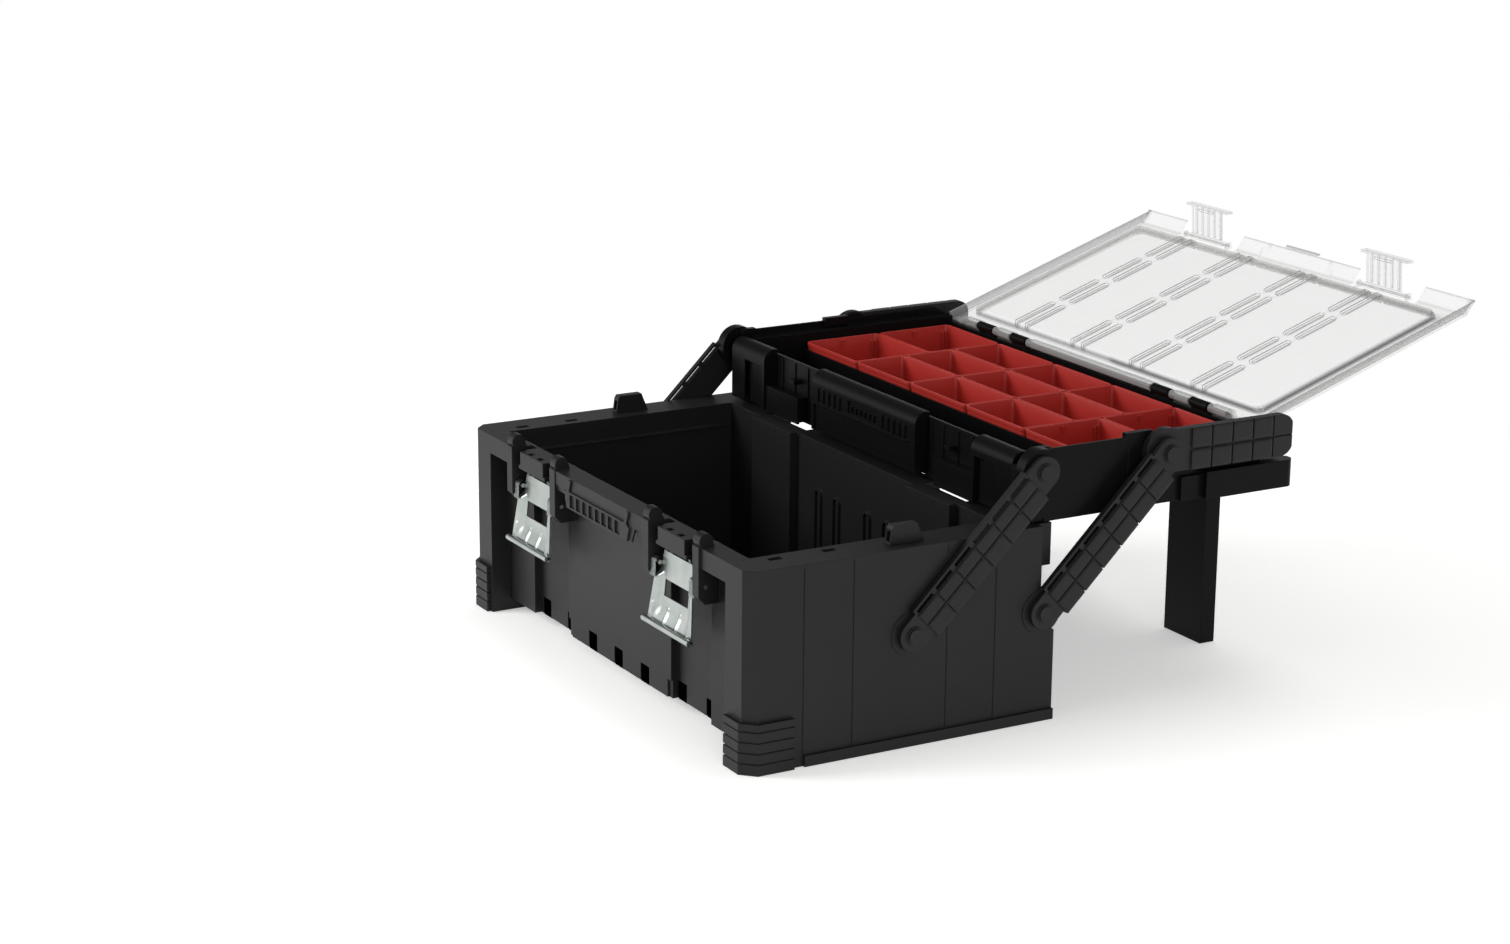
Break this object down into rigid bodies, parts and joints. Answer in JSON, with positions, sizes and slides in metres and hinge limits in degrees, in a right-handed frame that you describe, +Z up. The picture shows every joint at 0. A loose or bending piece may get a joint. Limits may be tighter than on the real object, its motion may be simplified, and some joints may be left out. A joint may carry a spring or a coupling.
{
  "type": "cantilever tool box",
  "caption": "Open cantilever tool box: deep black base, upper tray with red parts bins carried back on swinging side arms, clear hinged lid and steel front latches.",
  "frame": {"origin": "middle of the base's underside, on the ground", "axes": "X across the box to its right, Y from the front to the back, Z up"},
  "size_m": [0.57, 0.8062, 0.3526],
  "materials": {
    "body_plastic": "moulded polypropylene, fine grain",
    "arm_plastic": "moulded polypropylene, fine grain",
    "zinc_steel": "bright zinc plating on pressed sheet",
    "clear_plastic": "clear moulded polycarbonate",
    "bin_plastic": "satin moulded polypropylene"
  },
  "bodies": {
    "base": {"base_tub": "body_plastic", "rim_hook_left": "body_plastic", "rim_hook_right": "body_plastic", "latch_block_left": "body_plastic", "latch_block_right": "body_plastic", "label_panel": "body_plastic", "latch_pins": "zinc_steel", "lower_pivot_pins": "arm_plastic"},
    "arm_front_right": {"arm_front_right": "arm_plastic"},
    "arm_front_left": {"arm_front_left": "arm_plastic"},
    "arm_rear_right": {"arm_rear_right": "arm_plastic"},
    "arm_rear_left": {"arm_rear_left": "arm_plastic"},
    "tray": {"tray_body": "body_plastic", "tray_grip_block": "body_plastic", "lid_keepers": "body_plastic", "leg_left": "arm_plastic", "leg_right": "arm_plastic", "upper_pivot_pins": "arm_plastic", "hinge_rod": "zinc_steel"},
    "handle": {"handle_arm_left": "arm_plastic", "handle_arm_right": "arm_plastic", "handle_grip": "arm_plastic"},
    "lid": {"lid_panel": "clear_plastic", "lid_latch_pins": "zinc_steel"},
    "lid_latch_left": {"lid_latch_left": "clear_plastic"},
    "lid_latch_right": {"lid_latch_right": "clear_plastic"},
    "latch_left": {"latch_plate_left": "zinc_steel"},
    "latch_right": {"latch_plate_right": "zinc_steel"},
    "bin_1_front": {"bin_1_front": "bin_plastic"},
    "bin_1_rear": {"bin_1_rear": "bin_plastic"},
    "bin_2_front": {"bin_2_front": "bin_plastic"},
    "bin_2_mid": {"bin_2_mid": "bin_plastic"},
    "bin_2_rear": {"bin_2_rear": "bin_plastic"},
    "bin_3_front": {"bin_3_front": "bin_plastic"},
    "bin_3_mid": {"bin_3_mid": "bin_plastic"},
    "bin_3_rear": {"bin_3_rear": "bin_plastic"},
    "bin_4_front": {"bin_4_front": "bin_plastic"},
    "bin_4_mid": {"bin_4_mid": "bin_plastic"},
    "bin_4_rear": {"bin_4_rear": "bin_plastic"},
    "bin_5_front": {"bin_5_front": "bin_plastic"},
    "bin_5_rear": {"bin_5_rear": "bin_plastic"}
  },
  "joints": [
    {"name": "cantilever", "type": "hinge", "parent": "base", "child": "arm_front_right", "pos_m": [0.28, 0.00587, 0.1019], "axis": [-1, 0, 0], "range_deg": [-91.12, 0]},
    {"name": "tray_level", "type": "hinge", "parent": "arm_front_right", "child": "tray", "pos_m": [0.28, 0.1373, 0.23078], "axis": [-1, 0, 0], "range_deg": [0, 91.12]},
    {"name": "arm_front_left_swing", "type": "hinge", "parent": "base", "child": "arm_front_left", "pos_m": [-0.28, 0.00587, 0.1019], "axis": [-1, 0, 0], "range_deg": [-91.12, 0]},
    {"name": "arm_rear_right_swing", "type": "hinge", "parent": "base", "child": "arm_rear_right", "pos_m": [0.28, 0.14114, 0.1019], "axis": [-1, 0, 0], "range_deg": [-91.12, 0]},
    {"name": "arm_rear_left_swing", "type": "hinge", "parent": "base", "child": "arm_rear_left", "pos_m": [-0.28, 0.14114, 0.1019], "axis": [-1, 0, 0], "range_deg": [-91.12, 0]},
    {"name": "lid_hinge", "type": "hinge", "parent": "tray", "child": "lid", "pos_m": [0, 0.381, 0.241], "axis": [-1, 0, 0], "range_deg": [-161.5, 0]},
    {"name": "handle_swing", "type": "hinge", "parent": "tray", "child": "handle", "pos_m": [0, 0.27256, 0.23078], "axis": [-1, 0, 0], "range_deg": [-2.5, 0]},
    {"name": "lid_latch_left_hinge", "type": "hinge", "parent": "lid", "child": "lid_latch_left", "pos_m": [-0.1405, 0.62738, 0.31774], "axis": [-1, 0, 0], "range_deg": [-15, 85]},
    {"name": "lid_latch_right_hinge", "type": "hinge", "parent": "lid", "child": "lid_latch_right", "pos_m": [0.1405, 0.62738, 0.31774], "axis": [-1, 0, 0], "range_deg": [-15, 85]},
    {"name": "latch_left_hinge", "type": "hinge", "parent": "base", "child": "latch_left", "pos_m": [-0.1405, -0.151, 0.1445], "axis": [-1, 0, 0], "range_deg": [0, 95]},
    {"name": "latch_right_hinge", "type": "hinge", "parent": "base", "child": "latch_right", "pos_m": [0.1405, -0.151, 0.1445], "axis": [-1, 0, 0], "range_deg": [0, 95]},
    {"name": "bin_1_front_lift", "type": "slide", "parent": "tray", "child": "bin_1_front", "axis": [0, 0, 1], "range_m": [0, 0.06]},
    {"name": "bin_1_rear_lift", "type": "slide", "parent": "tray", "child": "bin_1_rear", "axis": [0, 0, 1], "range_m": [0, 0.06]},
    {"name": "bin_2_front_lift", "type": "slide", "parent": "tray", "child": "bin_2_front", "axis": [0, 0, 1], "range_m": [0, 0.06]},
    {"name": "bin_2_mid_lift", "type": "slide", "parent": "tray", "child": "bin_2_mid", "axis": [0, 0, 1], "range_m": [0, 0.06]},
    {"name": "bin_2_rear_lift", "type": "slide", "parent": "tray", "child": "bin_2_rear", "axis": [0, 0, 1], "range_m": [0, 0.06]},
    {"name": "bin_3_front_lift", "type": "slide", "parent": "tray", "child": "bin_3_front", "axis": [0, 0, 1], "range_m": [0, 0.06]},
    {"name": "bin_3_mid_lift", "type": "slide", "parent": "tray", "child": "bin_3_mid", "axis": [0, 0, 1], "range_m": [0, 0.06]},
    {"name": "bin_3_rear_lift", "type": "slide", "parent": "tray", "child": "bin_3_rear", "axis": [0, 0, 1], "range_m": [0, 0.06]},
    {"name": "bin_4_front_lift", "type": "slide", "parent": "tray", "child": "bin_4_front", "axis": [0, 0, 1], "range_m": [0, 0.06]},
    {"name": "bin_4_mid_lift", "type": "slide", "parent": "tray", "child": "bin_4_mid", "axis": [0, 0, 1], "range_m": [0, 0.06]},
    {"name": "bin_4_rear_lift", "type": "slide", "parent": "tray", "child": "bin_4_rear", "axis": [0, 0, 1], "range_m": [0, 0.06]},
    {"name": "bin_5_front_lift", "type": "slide", "parent": "tray", "child": "bin_5_front", "axis": [0, 0, 1], "range_m": [0, 0.06]},
    {"name": "bin_5_rear_lift", "type": "slide", "parent": "tray", "child": "bin_5_rear", "axis": [0, 0, 1], "range_m": [0, 0.06]}
  ],
  "couplings": [
    {"joint": "tray_level", "follows": "cantilever", "ratio": -1},
    {"joint": "arm_front_left_swing", "follows": "cantilever", "ratio": 1},
    {"joint": "arm_rear_right_swing", "follows": "cantilever", "ratio": 1},
    {"joint": "arm_rear_left_swing", "follows": "cantilever", "ratio": 1}
  ]
}
